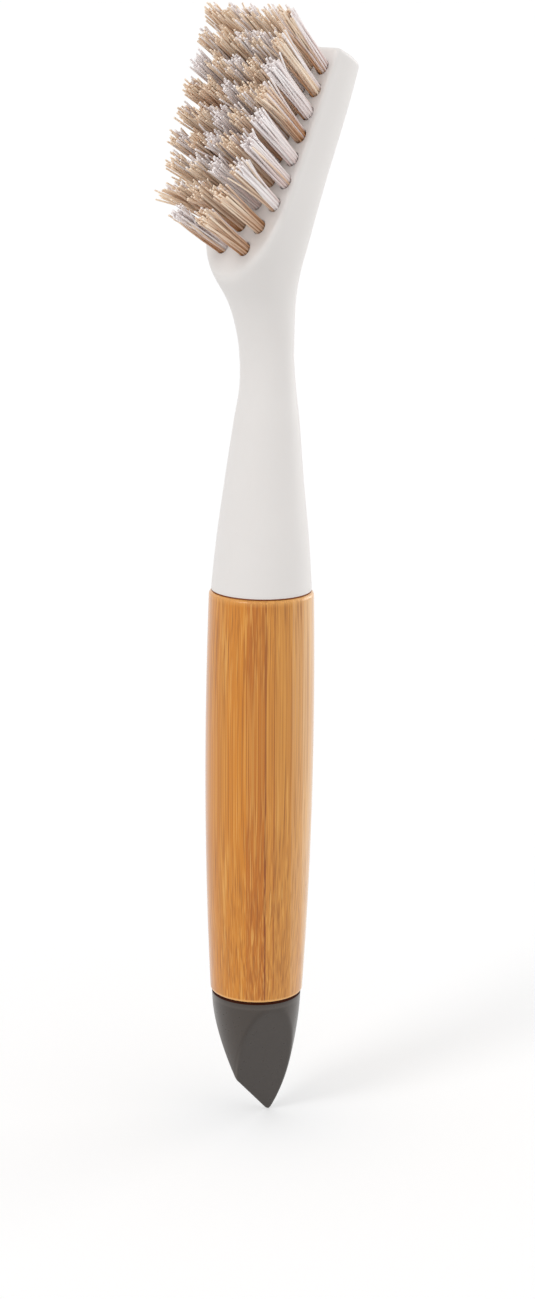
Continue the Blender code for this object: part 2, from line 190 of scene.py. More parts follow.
# Oiled laminated bamboo. The fibres run straight up the blank, so the barrel shows long lines where it is
# widest and short dashes where it tapers and cuts across them. Each strip has a tone of its own, and the
# strips lie across the camera's view: the last ones, on its right, are paler as a painted highlight from
# the rim light.
STRIP_EDGES_AND_TONES_WITH_PAINTED_HIGHLIGHT = ((0.0, "#D08528"), (0.205, "#D28322"), (0.385, "#C0701A"), (0.552, "#8A4410"),
                         (0.570, "#D08834"), (0.635, "#AE6620"), (0.645, "#D08C3C"), (0.80, "#DCA262"),
                         (0.90, "#E8B880"))
# Grain layers: width and length in mm, noise level where the layer starts and where it is full, its
# strongest share and its colour. The finest are the fibre bundles, a quarter to half a millimetre wide.
GRAIN_LAYERS = ((4.0, 40, 0.46, 0.66, 0.30, "#CE8730"), (1.2, 90, 0.50, 0.68, 0.15, "#BC6C1E"),
                (0.26, 90, 0.50, 0.38, 0.42, "#945012"), (0.25, 80, 0.52, 0.64, 0.45, "#EBAA50"),
                (0.42, 130, 0.40, 0.34, 0.45, "#8E4E14"), (0.42, 120, 0.61, 0.67, 0.50, "#F0B560"))
GRAIN_DEPTH_RATIO = 1.3
# Step from one layer's place in the noise to the next one's
LAYER_SHIFT = (3.7, 1.3, 5.1)
# Turn of the blank that lays the strips across the camera's view, so their painted highlight lies on its
# right
GRAIN_TURN = math.radians(-45)
GRAIN_TILT = math.radians(0.5)
# Painted highlight: the rounded rims are painted paler than the sides, as where they catch the light
RIM_HIGHLIGHT_COLOUR = "#F0B468"
UPPER_RIM_HIGHLIGHT_HEIGHT = 1.3 * MM
UPPER_RIM_HIGHLIGHT_SHARE = 0.5
LOWER_RIM_HIGHLIGHT_HEIGHT = 0.6 * MM
LOWER_RIM_HIGHLIGHT_FULL_HEIGHT = 0.25 * MM
PORE_DEPTH = 0.03 * MM
OILED_ROUGHNESS = (0.32, 0.42)
# Levels between which most of a noise lies
NOISE_LOW, NOISE_HIGH = 0.3, 0.7

bamboo, finish = new_material("oiled_laminated_bamboo")
place = add_node(bamboo, "ShaderNodeTexCoord", "Object", {})
tilt = GRAIN_TILT * math.sqrt(0.5)
blank = add_node(bamboo, "ShaderNodeMapping", "Vector", {
    "Vector": place, "Rotation": (-tilt, tilt, GRAIN_TURN)})
across = add_node(bamboo, "ShaderNodeSeparateXYZ", "X", {"Vector": blank})
strip = add_node(bamboo, "ShaderNodeMapRange", "Result", {
    "Value": across, "From Min": -GRIP_RADIUS, "From Max": GRIP_RADIUS})
wood = add_node(bamboo, "ShaderNodeValToRGB", "Color", {"Fac": strip})
wood.node.color_ramp.interpolation = 'CONSTANT'
tones = wood.node.color_ramp.elements
tones.remove(tones[1])
for edge, tone in STRIP_EDGES_AND_TONES_WITH_PAINTED_HIGHLIGHT:
    stop = tones.new(edge) if edge else tones[0]
    stop.color = colour(tone)
for k, (width, length, start, full, share, tone) in enumerate(GRAIN_LAYERS):
    scale = (1 / (width * MM), GRAIN_DEPTH_RATIO / (width * MM), 1 / (length * MM))
    cells = add_node(bamboo, "ShaderNodeMapping", "Vector", {
        "Vector": blank, "Scale": scale, "Location": tuple(k * shift for shift in LAYER_SHIFT)})
    grain = add_node(bamboo, "ShaderNodeTexNoise", "Fac", {
        "Vector": cells, "Scale": 1.0, "Detail": 2.0, "Roughness": 0.5})
    layer = add_node(bamboo, "ShaderNodeMapRange", "Result", {
        "Value": grain, "From Min": start, "From Max": full, "To Max": share})
    wood = add_node(bamboo, "ShaderNodeMix", "Result_Color", {
        "Factor_Float": layer, "A_Color": wood, "B_Color": colour(tone)}, data_type='RGBA')
height = add_node(bamboo, "ShaderNodeSeparateXYZ", "Z", {"Vector": place})
upper_rim_highlight = add_node(bamboo, "ShaderNodeMapRange", "Result", {
    "Value": height, "From Min": GRIP_TOP - UPPER_RIM_HIGHLIGHT_HEIGHT, "From Max": GRIP_TOP,
    "To Max": UPPER_RIM_HIGHLIGHT_SHARE})
lower_rim_highlight = add_node(bamboo, "ShaderNodeMapRange", "Result", {
    "Value": height, "From Min": GRIP_BOTTOM + LOWER_RIM_HIGHLIGHT_HEIGHT,
    "From Max": GRIP_BOTTOM + LOWER_RIM_HIGHLIGHT_FULL_HEIGHT})
rim_highlight = add_node(bamboo, "ShaderNodeMath", "Value", {
    "Value": upper_rim_highlight, "Value_001": lower_rim_highlight}, operation='MAXIMUM')
# Mixes in the painted rim highlight
wood = add_node(bamboo, "ShaderNodeMix", "Result_Color", {
    "Factor_Float": rim_highlight, "A_Color": wood, "B_Color": colour(RIM_HIGHLIGHT_COLOUR)}, data_type='RGBA')
pores = add_node(bamboo, "ShaderNodeBump", "Normal", {
    "Strength": 0.5, "Distance": PORE_DEPTH, "Height": grain})
roughness = add_node(bamboo, "ShaderNodeMapRange", "Result", {
    "Value": grain, "From Min": NOISE_LOW, "From Max": NOISE_HIGH,
    "To Min": OILED_ROUGHNESS[0], "To Max": OILED_ROUGHNESS[1]})
feed(finish, {"Base Color": wood, "Normal": pores, "Roughness": roughness, "IOR": 1.5,
              "Specular IOR Level": 0.3, "Coat Weight": 1.0, "Coat Roughness": 0.2, "Coat IOR": 1.3})

radii, heights = grip_profile()
grip = add_mesh("bamboo_grip", *skin(turned(radii, heights, around(GRIP_COLUMNS))), [bamboo])
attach(grip, "root")
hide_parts("bamboo_handle")

# Glue lines and painted seam shadows
# Both spigots are pressed into their bores with glue. What comes out is wiped off, and a ring of it stays
# in each seam, just inside the edges. The lower one also runs down over the scraper's shoulder. Both rings
# are darker than the glue would be, and so paint the shadow in their seams as well.
COLLAR_RADIUS = 9.1 * MM
SCRAPER_RADIUS = 8.3 * MM
UPPER_SEAM = 0.2 * MM
GLUE_INSET = 0.03 * MM
GLUE_RUN_OUT = 0.3 * MM
GLUE_INNER_RADIUS = 6.0 * MM
GLUE_COLUMNS = 120


def glue_and_shadow_ring(low, high, outer_radius, angles):
    """Points and faces of a closed ring of rectangular section: its four corners, turned."""
    radii = np.array((GLUE_INNER_RADIUS, outer_radius, outer_radius, GLUE_INNER_RADIUS))
    points = turned(radii, np.array((low, low, high, high)), angles).reshape(-1, 3)
    index = np.arange(len(points)).reshape(len(radii), -1)
    above = np.roll(index, -1, axis=0)
    quads = np.stack((index, np.roll(index, -1, axis=1), np.roll(above, -1, axis=1), above), axis=-1)
    return points, quads.reshape(-1, 4).tolist()


# Cured wood glue, squeezed out and wiped: brown and dull, mottled where it holds sanding dust, and dark
# enough to be painted seam shadow too. The upper line is thin and lets the bamboo's colour through, and
# the lower one is thick and nearly black, a painted shadow under the grip's overhang.
UPPER_GLUE_AND_SHADOW_TONES = ("#74402A", "#8A5036")
LOWER_GLUE_AND_SHADOW_TONES = ("#2C1208", "#401B0D")
GLUE_MOTTLE_SIZE = 0.8 * MM

# Each ring is glue, darkened into a painted shadow of its seam
for name, low, high, radius, tones in (
        ("upper", GRIP_TOP, GRIP_TOP + UPPER_SEAM, COLLAR_RADIUS, UPPER_GLUE_AND_SHADOW_TONES),
        ("lower", GRIP_BOTTOM - SEAM - GLUE_RUN_OUT, GRIP_BOTTOM, SCRAPER_RADIUS, LOWER_GLUE_AND_SHADOW_TONES)):
    glue_and_shadow, finish = new_material(f"{name}_glue_and_painted_seam_shadow")
    place = add_node(glue_and_shadow, "ShaderNodeTexCoord", "Object", {})
    mottle = add_node(glue_and_shadow, "ShaderNodeTexNoise", "Fac", {
        "Vector": place, "Scale": 1 / GLUE_MOTTLE_SIZE})
    dusty = add_node(glue_and_shadow, "ShaderNodeMix", "Result_Color", {
        "Factor_Float": mottle, "A_Color": colour(tones[0]), "B_Color": colour(tones[1])},
        data_type='RGBA')
    feed(finish, {"Base Color": dusty, "Roughness": 0.7, "Specular IOR Level": 0.05})
    ring = glue_and_shadow_ring(low, high, radius - GLUE_INSET, around(GLUE_COLUMNS))
    glue_and_shadow_line = add_mesh(f"glue_and_shadow_line_{name}", *ring, [glue_and_shadow])
    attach(glue_and_shadow_line, "root")

# Brush head
# One injection moulding of white ABS: a collar, a neck and a squarish head whose slanted flat face takes
# the bristles. Its ribbed spigot is pressed, with glue, into the grip's upper bore.
COLLAR_EDGE = GRIP_HIGH.z + SEAM
# The collar's skirt goes on down from that edge to the glue in the seam
COLLAR_SKIRT = COLLAR_EDGE - GRIP_TOP - UPPER_SEAM
COLLAR_FOOT = COLLAR_EDGE - COLLAR_SKIRT
COLLAR_ROUNDING = 0.05 * MM
SHOULDER_ROWS = 5
NECK_RADIUS = 4.85 * MM
NECK_SET_BACK = 0.93 * MM
WAIST_HEIGHT = 41.4 * MM
FLARE_HEIGHT = 15.0 * MM
HEEL_HEIGHT = WAIST_HEIGHT + FLARE_HEIGHT
HEEL_REACH = 10.3 * MM
HEEL_BACK = 6.0 * MM
HEEL_WIDTH = 13.1 * MM
HEAD_WIDTH = 19.5 * MM
BACK_DEPTH = 12.0 * MM
TOE_BACK_DEPTH = 10.4 * MM
WIDEST_BEHIND_FACE = 1.0 * MM
FACE_LEAN = math.radians(24.45)
FACE_LENGTH = 43.1 * MM
FACE_RISE = FACE_LENGTH * math.cos(FACE_LEAN)
EDGE_REACH = 0.94 * MM
THINNING_START = 0.60
THINNING_STEP = 0.3
CUT_OVERRUN = 3.0 * MM
# Neck sections, from collar to waist: shares of the height, of the taper and of the set-back
NECK_SECTIONS = ((0.21, 0.175, 0.15), (0.47, 0.47, 0.36), (0.73, 0.76, 0.80), (0.87, 0.95, 0.96),
                 (1.0, 1.0, 0.62))
# Flare sections, from waist to heel: shares of the height, the widening, the forward and backward swell
FLARE_SECTIONS = ((0.33, 0.06, 0.16, 0.1), (0.68, 0.32, 0.50, 0.33), (1.0, 1.0, 1.0, 1.0))
# Head sections, from heel to toe: shares of the height, of the widening, of the shift of the widest
# line towards the face, of the thinning to the back's depth and of the squaring
HEAD_SECTIONS = ((0.12, 0.52, 0.37, 0.36, 0.12), (0.26, 0.84, 0.64, 0.77, 0.55),
                 (0.42, 0.95, 0.86, 0.95, 0.80))
ROUND, FLARE_SQUARENESS, HEAD_SQUARENESS = 2.0, 2.2, 3.0
SPIGOT_RADIUS = 5.8 * MM
SPIGOT_CHAMFER = 1.0 * MM
CRUSH_RIB_HEIGHT = 0.3 * MM
CRUSH_RIB_SPACING = math.radians(60)
CRUSH_RIB_HALF_WIDTH = math.radians(7.5)
# The spine from which the skin is cast: its Y in the neck, its depth behind the face, and the flare
# heights over which it moves from the one to the other and over which its planes turn
NECK_SPINE = 0.4 * MM
SPINE_DEPTH = 5.0 * MM
SPINE_MOVES_OVER, PLANES_TURN_OVER = 1.2, 2
CAST_HALVINGS = 24
SMALLEST_NORM = 1e-6
HEAD_COLUMNS = 240
HEAD_ROWS = 150
TOE_EDGE_ROWS = 9

face_turn = Euler((math.pi / 2 - FACE_LEAN, 0.0, 0.0)).to_matrix()
FACE_UP, FACE_OUT = (np.array(face_turn.col[k]) for k in (1, 2))
HEEL_POINT = np.array((0.0, -HEEL_REACH, COLLAR_EDGE + HEEL_HEIGHT))
TOE_POINT = HEEL_POINT + FACE_UP * FACE_LENGTH


def mix(low, high, share):
    """Value a share of the way from low to high."""
    return low + (high - low) * share


def smooth_step(low, high, value):
    """0 below low, 1 above high, and 3t^2 - 2t^3 between them."""
    t = np.clip((value - low) / (high - low), 0, 1)
    return t * t * (3 - 2 * t)


def face_depth(height):
    """Y of the slanted face at a height above the collar's edge."""
    return -HEEL_REACH + (height - HEEL_HEIGHT) * math.tan(FACE_LEAN)


def head_stations():
    """Sections of the moulding: height, half width, middle, half depth and squareness."""
    stations = [(0.0, COLLAR_RADIUS, 0.0, COLLAR_RADIUS, ROUND)]
    for rise, taper, set_back in NECK_SECTIONS:
        radius = mix(COLLAR_RADIUS, NECK_RADIUS, taper)
        stations.append((WAIST_HEIGHT * rise, radius, NECK_SET_BACK * set_back, radius, ROUND))

    waist_middle = stations[-1][2]
    for rise, widening, forwards, backwards in FLARE_SECTIONS:
        front = mix(waist_middle - NECK_RADIUS, -HEEL_REACH, forwards)
        back = mix(waist_middle + NECK_RADIUS, HEEL_BACK, backwards)
        stations.append((WAIST_HEIGHT + FLARE_HEIGHT * rise, mix(NECK_RADIUS, HEEL_WIDTH / 2, widening),
                         (front + back) / 2, (back - front) / 2, mix(ROUND, FLARE_SQUARENESS, widening)))

    heel_depth = HEEL_REACH + HEEL_BACK
    for rise, widening, shift, thinning, squaring in HEAD_SECTIONS:
        level = HEEL_HEIGHT + FACE_RISE * rise
        behind = mix(heel_depth / 2, WIDEST_BEHIND_FACE, shift)
        stations.append((level, mix(HEEL_WIDTH, HEAD_WIDTH, widening) / 2, face_depth(level) + behind,
                         mix(heel_depth, BACK_DEPTH, thinning) - behind,
                         mix(FLARE_SQUARENESS, HEAD_SQUARENESS, squaring)))
    for rise in (mix(THINNING_START, 1.0, THINNING_STEP), 1.0, 1.0 + CUT_OVERRUN / FACE_RISE):
        level = HEEL_HEIGHT + FACE_RISE * rise
        thinning = min((rise - THINNING_START) / (1.0 - THINNING_START), 1.0)
        depth = mix(BACK_DEPTH, TOE_BACK_DEPTH, thinning)
        stations.append((level, HEAD_WIDTH / 2, face_depth(level) + WIDEST_BEHIND_FACE,
                         depth - WIDEST_BEHIND_FACE, HEAD_SQUARENESS))
    return np.array(stations)


def through(stations, level):
    """Values at each level on a smooth curve through rows that start with their own level.

    Between two rows it is the cubic whose slopes at its ends are those between the rows' neighbours.
    """
    known, values = stations[:, 0], stations[:, 1:]
    before = np.maximum(np.arange(len(known)) - 1, 0)
    after = np.minimum(np.arange(len(known)) + 1, len(known) - 1)
    slopes = (values[after] - values[before]) / (known[after] - known[before])[:, None]
    k = np.clip(np.searchsorted(known, level, side="right") - 1, 0, len(known) - 2)
    span = (known[k + 1] - known[k])[..., None]
    t = (level - known[k])[..., None] / span
    return (values[k] * (1 + 2 * t) * (1 - t) ** 2 + slopes[k] * span * t * (1 - t) ** 2
            + values[k + 1] * t * t * (3 - 2 * t) + slopes[k + 1] * span * t * t * (t - 1))


def smooth_max(first, second, reach):
    """The larger of two distances, plus a parabola where they differ by less than the reach.

    The parabola rounds the edge along which the two surfaces meet.
    """
    near = np.maximum(reach - np.abs(first - second), 0)
    return np.maximum(first, second) + near ** 2 / (4 * reach)


STATIONS = head_stations()


def head_field(points):
    """Distance of points outside the head: outside its superelliptic section, its face and its toe.

    A superellipse's norm is the n-th root of |x/a|^n + |y/b|^n, and it is 1 on the section's outline.
    """
    level = np.clip(points[..., 2] - COLLAR_EDGE, 0, STATIONS[-1, 0])
    half_width, middle, half_depth, power = np.moveaxis(through(STATIONS, level), -1, 0)
    x, y = np.abs(points[..., 0]), np.abs(points[..., 1] - middle)
    norm = ((x / half_width) ** power + (y / half_depth) ** power) ** (1 / power)
    outline = np.hypot(x, y) * (1 - 1 / np.maximum(norm, SMALLEST_NORM))
    cut = smooth_max(outline, (points - HEEL_POINT) @ FACE_OUT, EDGE_REACH)
    return smooth_max(cut, (points - TOE_POINT) @ FACE_UP, EDGE_REACH)


def cast(field, starts, directions, far):
    """Where rays from inside a form leave it, by halving their reach over and over to the field's 0."""
    inner, outer = np.zeros(directions.shape[:-1]), np.full(directions.shape[:-1], far)
    for _ in range(CAST_HALVINGS):
        middle = (inner + outer) / 2
        inside = field(starts + directions * middle[..., None]) < 0
        inner, outer = np.where(inside, middle, inner), np.where(inside, outer, middle)
    return starts + directions * inner[..., None]


def head_skin(angles):
    """Rings of the head from the collar to the toe, cast from a spine in planes that tilt with the face.

    The planes are level up to the waist, then turn about X to lie square to the slanted face. The last
    ones close in on the toe as the sine of a quarter turn.
    """
    toe = HEEL_HEIGHT + FACE_RISE - SPINE_DEPTH * math.sin(FACE_LEAN)
    closing = EDGE_REACH * math.cos(FACE_LEAN)
    turn = np.linspace(0, np.pi / 2, TOE_EDGE_ROWS)[1:]
    level = np.concatenate((np.linspace(COLLAR_ROUNDING - COLLAR_SKIRT, toe - closing, HEAD_ROWS),
                            toe - closing * (1 - np.sin(turn))))
    moved, turned_share = (smooth_step(WAIST_HEIGHT, WAIST_HEIGHT + span * FLARE_HEIGHT, level)
                           for span in (SPINE_MOVES_OVER, PLANES_TURN_OVER))
    spine_y = mix(NECK_SPINE, face_depth(level) + SPINE_DEPTH / math.cos(FACE_LEAN), moved)
    tilt = FACE_LEAN * turned_share[:, None]
    starts = np.stack((0 * level, spine_y, COLLAR_EDGE + level), axis=-1)[:, None]
    directions = np.stack((np.cos(angles) + 0 * tilt, np.sin(angles) * np.cos(tilt),
                           -np.sin(angles) * np.sin(tilt)), axis=-1)
    return cast(head_field, starts, directions, 2 * HEAD_WIDTH)


def spigot(shoulder, end, angles):
    """Rings of a ribbed spigot from its shoulder to its chamfered end.

    A crush rib is a ridge of triangular section: its height falls evenly to 0 over half its width.
    """
    way = math.copysign(SPIGOT_CHAMFER, end - shoulder)
    heights = np.array((shoulder, end - 2 * way, end - way, end))
    from_crest = np.abs(angles % CRUSH_RIB_SPACING - CRUSH_RIB_SPACING / 2)
    rib = CRUSH_RIB_HEIGHT * np.maximum(1 - from_crest / CRUSH_RIB_HALF_WIDTH, 0)
    radii = SPIGOT_RADIUS + np.array((1, 1, 0, 0))[:, None] * rib
    radii[-1] -= SPIGOT_CHAMFER
    return turned(radii, heights, angles)


def rounded_shoulder(radius, shoulder, rounding, way, angles):
    """Rings of a quarter circle that rounds a shoulder's edge, from its flat to its side.

    The radius grows as the sine of the turn and the way from the shoulder as one minus its cosine.
    """
    turn = np.linspace(0, np.pi / 2, SHOULDER_ROWS)
    return turned(radius - rounding * (1 - np.sin(turn)),
                  shoulder + way * rounding * (1 - np.cos(turn)), angles)


# Satin moulded ABS: an even warm white, a little glossy, with the faint cloudiness and fine grain that a
# lightly blasted mould leaves. The grain is drawn at 0.4 mm so that it shows.
ABS_TONES = ("#E5E1DE", "#E9E5E2")
ABS_CLOUD_SIZE = 9 * MM
MOULD_GRAIN_SIZE = 0.4 * MM
MOULD_GRAIN_DEPTH = 0.004 * MM
ABS_ROUGHNESS = (0.36, 0.44)
ABS_LIGHT_DEPTH = 1.0 * MM

abs_plastic, finish = new_material("satin_moulded_white_abs")
place = add_node(abs_plastic, "ShaderNodeTexCoord", "Object", {})
clouds = add_node(abs_plastic, "ShaderNodeTexNoise", "Fac", {
    "Vector": place, "Scale": 1 / ABS_CLOUD_SIZE, "Detail": 3.0})
body = add_node(abs_plastic, "ShaderNodeMix", "Result_Color", {
    "Factor_Float": clouds, "A_Color": colour(ABS_TONES[0]), "B_Color": colour(ABS_TONES[1])},
    data_type='RGBA')
grain = add_node(abs_plastic, "ShaderNodeTexNoise", "Fac", {
    "Vector": place, "Scale": 1 / MOULD_GRAIN_SIZE, "Detail": 2.0})
roughness = add_node(abs_plastic, "ShaderNodeMapRange", "Result", {
    "Value": clouds, "From Min": NOISE_LOW, "From Max": NOISE_HIGH,
    "To Min": ABS_ROUGHNESS[0], "To Max": ABS_ROUGHNESS[1]})
mould_grain = add_node(abs_plastic, "ShaderNodeBump", "Normal", {
    "Strength": 0.3, "Distance": MOULD_GRAIN_DEPTH, "Height": grain})
feed(finish, {"Base Color": body, "Roughness": roughness, "Normal": mould_grain, "IOR": 1.5,
              "Subsurface Weight": 0.05, "Subsurface Radius": (1.0, 0.9, 0.8),
              "Subsurface Scale": ABS_LIGHT_DEPTH})

# Tuft holes
# Thirty-nine blind holes drilled into the slanted face in level rows, each along the lean of its own
# tuft. They fan out from heel to toe and from the middle to the sides.
TUFTS_IN_ROWS = (5, 5, 5, 5, 5, 5, 4, 3, 2)
HEEL_ROW_SPREAD = 5.4 * MM
ROW_WIDENING = math.radians(24.1)
TOE_MARGIN = 3.9 * MM
HEEL_MARGIN = 5.5 * MM
SIDE_MARGIN = 2.5 * MM
HOLE_RADIUS = 1.33 * MM
HOLE_DEPTH = 5.0 * MM
HOLE_COLUMNS = 32
TOE_TUFT_LENGTH = 14.4 * MM
HEEL_TUFT_LENGTH = 12.0 * MM
TOE_TUFT_LEAN = math.radians(15.5)
HEEL_TUFT_LEAN = math.radians(6.8)
SIDE_TUFT_LEAN = math.radians(7.5)


def tuft_places():
    """Row, column, place, turn matrix and length of each tuft, counted from the toe and from -X.

    Rows stand at equal steps down the face, and a row's spread grows evenly with its distance from the
    heel until it meets the side margins.
    """
    full_spread = HEAD_WIDTH - 2 * SIDE_MARGIN
    run = FACE_LENGTH - TOE_MARGIN - HEEL_MARGIN
    across_face = np.array(face_turn.col[0])
    for row, count in enumerate(TUFTS_IN_ROWS):
        down = row / (len(TUFTS_IN_ROWS) - 1)
        spread = min(full_spread, HEEL_ROW_SPREAD + 2 * run * (1 - down) * math.tan(ROW_WIDENING))
        lean = mix(TOE_TUFT_LEAN, HEEL_TUFT_LEAN, down)
        for column in range(count):
            x = spread * (column / (count - 1) - 0.5)
            spot = HEEL_POINT + FACE_UP * (FACE_LENGTH - TOE_MARGIN - run * down) + across_face * x
            turn = face_turn @ Euler((-lean, 2 * SIDE_TUFT_LEAN * x / full_spread, 0.0)).to_matrix()
            yield row, column, spot, np.array(turn), mix(TOE_TUFT_LENGTH, HEEL_TUFT_LENGTH, down)


def drill_bits():
    """Rings of one cylinder for each hole, from its floor to a hole's width out of the face."""
    bit = turned(np.full(2, HOLE_RADIUS), np.array((-HOLE_DEPTH, 2 * HOLE_RADIUS)), around(HOLE_COLUMNS))
    return np.stack([bit @ turn.T + spot for _row, _column, spot, turn, _length in tuft_places()])


def drilled(piece, bits):
    """Cuts the bits out of a piece by a Boolean, and keeps the result as the piece's own mesh."""
    cutter = add_mesh("drill_bits", *skin(bits), piece.data.materials)
    drill = piece.modifiers.new("tuft_holes", 'BOOLEAN')
    drill.operation = 'DIFFERENCE'
    drill.solver = 'EXACT'
    drill.object = cutter
    cut = bpy.data.meshes.new_from_object(piece.evaluated_get(bpy.context.evaluated_depsgraph_get()))
    piece.modifiers.clear()
    bpy.data.objects.remove(cutter)
    cut.shade_smooth()
    cut.set_sharp_from_angle(angle=SHARP_EDGE)
    piece.data = cut
    return piece


angles = around(HEAD_COLUMNS)
head_rings = np.concatenate((
    spigot(COLLAR_FOOT, COLLAR_FOOT - HEAD_SPIGOT_LENGTH, angles)[::-1],
    rounded_shoulder(COLLAR_RADIUS, COLLAR_FOOT, COLLAR_ROUNDING, 1, angles),
    head_skin(angles)[1:]))
head = drilled(add_mesh("moulded_head", *skin(head_rings), [abs_plastic]), drill_bits())
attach(head, "root")
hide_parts("brush_head")

# Bristle tufts
# Thirty-nine tufts of straight cut nylon filaments, folded over an anchor at the foot of each hole. They
# fan out a little, and each tuft mixes white and tan filaments in its own shares. Use has splayed one.
TUFT_SEED = 39
# Real filaments are 0.1 to 0.2 mm thick, and are drawn twice as thick so that they show
FILAMENT_RADIUS = 0.17 * MM
FILAMENT_PITCH = 0.325 * MM
FILAMENT_SIDES = 6
FILAMENT_SHARP_EDGE = math.radians(50)
GRID_REACH = 5
ROOT_CLEARANCE = 0.01 * MM
ROOT_RISE = 0.2 * MM
TIP_SPREAD = 1.34
# Scatter of length, with its limit in standard deviations, and of sideways bend, then the share of stray
# filaments and how much more they bend, and the steepest slant of a cut end
LENGTH_SCATTER = 0.6 * MM
MOST_SCATTER = 1.6
BEND_SCATTER = 0.36 * MM
STRAYS = 0.08
STRAY_BEND = 3.0
CUT_SLANT = 0.5
RING_SHARES = np.array((0.0, 0.35, 0.7, 1.0))
SHARES_WITH_ROOT = np.concatenate(((0.0,), RING_SHARES))
# The splayed tuft's row and column, and how far its tips are pushed across the face and down it
SPLAYED_TUFT = (7, 0)
SPLAY = np.array((-2.0, -0.8)) * MM
# White filaments' share of each tuft, row by row from the toe and from -X to +X
WHITE_SHARES = ((0.1, 0.3, 0.6, 0.2, 0.28), (0.35, 0.0, 0.6, 0.6, 0.3), (1.0, 0.1, 0.8, 0.1, 0.97),
                (0.15, 0.0, 0.75, 0.1, 0.2), (0.2, 0.1, 0.95, 0.15, 0.9), (0.4, 0.05, 0.9, 0.15, 0.97),
                (0.1, 0.6, 0.9, 0.6), (0.15, 0.1, 0.15), (0.8, 0.15))
# The white ones gather at one side of a tuft, and mix with the tan where the two meet
WHITE_SIDE = math.radians(65)
WHITE_SIDE_SCATTER = math.radians(35)
MIXING = 0.45 * MM
# Shade, from 0 for the dark tone to 1 for the light one: limits of a tuft's own, scatter within the tuft,
# and what the tips gain, at a power of the height. That gain is painted light: tips paler as where they
# catch the light, and shafts darker as in the shade among the filaments.
TUFT_SHADES = (0.18, 0.62)
SHADE_SCATTER = 0.30
PAINTED_TIP_LIGHT = 0.75
PAINTED_TIP_LIGHT_POWER = 1.3


def filament_grid(chance):
    """Middles of the filaments in a hole: a triangular grid within its circle, turned at random.

    Each row of the grid lies half a pitch along from the last, and the root of 3/4 of a pitch up.
    """
    reach = HOLE_RADIUS - ROOT_CLEARANCE - FILAMENT_RADIUS
    steps = np.arange(-GRID_REACH, GRID_REACH + 1)
    i, j = np.meshgrid(steps, steps)
    grid = np.stack((i + j / 2, j * math.sqrt(0.75)), axis=-1).reshape(-1, 2) * FILAMENT_PITCH
    grid = grid[np.hypot(*grid.T) <= reach]
    turn = chance.uniform(0, np.pi)
    return grid @ np.array(((math.cos(turn), -math.sin(turn)), (math.sin(turn), math.cos(turn))))


def filament_rings(grid, length, chance):
    """Rings (filament, ring, side, 3) in the tuft's own frame, with Z out of the face.

    Above the face a filament's middle moves outwards in proportion to its height, and bends sideways
    with its square. The last ring is slanted as the shears leave it.
    """
    count = len(grid)
    reach = length + LENGTH_SCATTER * np.clip(chance.normal(size=count), -MOST_SCATTER, MOST_SCATTER)
    bend = BEND_SCATTER * chance.normal(size=(count, 2))
    bend *= np.where(chance.random(count) < STRAYS, STRAY_BEND, 1.0)[:, None]
    rise = reach[:, None] * RING_SHARES
    share = np.concatenate((np.zeros((count, 1)), rise / length), axis=1)[..., None]
    rise = np.concatenate((np.full((count, 1), ROOT_RISE - HOLE_DEPTH), rise), axis=1)
    middle = grid[:, None] * (1 + (TIP_SPREAD - 1) * share) + bend[:, None] * share ** 2
    angles = around(FILAMENT_SIDES)
    section = FILAMENT_RADIUS * np.stack((np.cos(angles), np.sin(angles)), axis=-1)
    slant = chance.uniform(-CUT_SLANT, CUT_SLANT, (count, 2))
    heights = np.repeat(rise[..., None], FILAMENT_SIDES, axis=2)
    heights[:, -1] += slant @ section.T
    return np.concatenate((middle[:, :, None] + section, heights[..., None]), axis=-1)


def splayed(rings, grid):
    """Pushes the outer half of a tuft's filaments over: the splay, times the height's share squared."""
    outer = grid @ SPLAY > 0
    rings[outer, 1:, :, :2] += SPLAY * RING_SHARES[:, None, None] ** 2
    return rings


def kept_in_box(rings, low, high):
    """Bends back filaments whose tips pass the box: the excess, times the height's share squared."""
    lowest, highest = rings[:, -1].min(axis=1), rings[:, -1].max(axis=1)
    excess = np.maximum(highest - high, 0) - np.maximum(low - lowest, 0)
    return rings - excess[:, None, None] * SHARES_WITH_ROOT[None, :, None, None] ** 2


def white_ones(grid, share, chance):
    """Which filaments are white: the share of them that lies furthest to the tuft's white side.

    A random distance is added to each filament's own before they are ranked.
    """
    side = WHITE_SIDE + WHITE_SIDE_SCATTER * chance.normal()
    distance = grid @ (math.cos(side), math.sin(side)) + MIXING * chance.normal(size=len(grid))
    return np.argsort(np.argsort(-distance)) < share * len(grid)


def tones_with_painted_tip_light(count, chance):
    """Each filament ring's shade: the tuft's own, its scatter, and painted tip light at a power of height.
    """
    shade = np.clip(chance.uniform(*TUFT_SHADES) + SHADE_SCATTER * chance.normal(size=count), 0, 1)
    return shade[:, None] + PAINTED_TIP_LIGHT * SHARES_WITH_ROOT ** PAINTED_TIP_LIGHT_POWER


def paint(piece, name, values):
    """Stores a number for each of a piece's points, under the name by which its material reads it."""
    piece.data.attributes.new(name, 'FLOAT', 'POINT').data.foreach_set("value", values)


# Nylon filament, drawn and cut to length: satin and slightly see-through, so that it looks soft. The
# white is faintly pink at its root, and the tan runs from brown at its root to cream at its tip. Part of
# that run is painted light: the tips are painted paler and the roots darker, as light and shade fall.
FILAMENT_TONES = {"white_nylon_filament": ("#E9D4CF", "#FFF8F7"),
                  "tan_nylon_filament": ("#B17A4B", "#FCE6CF")}
NYLON_LIGHT_DEPTH = 0.3 * MM

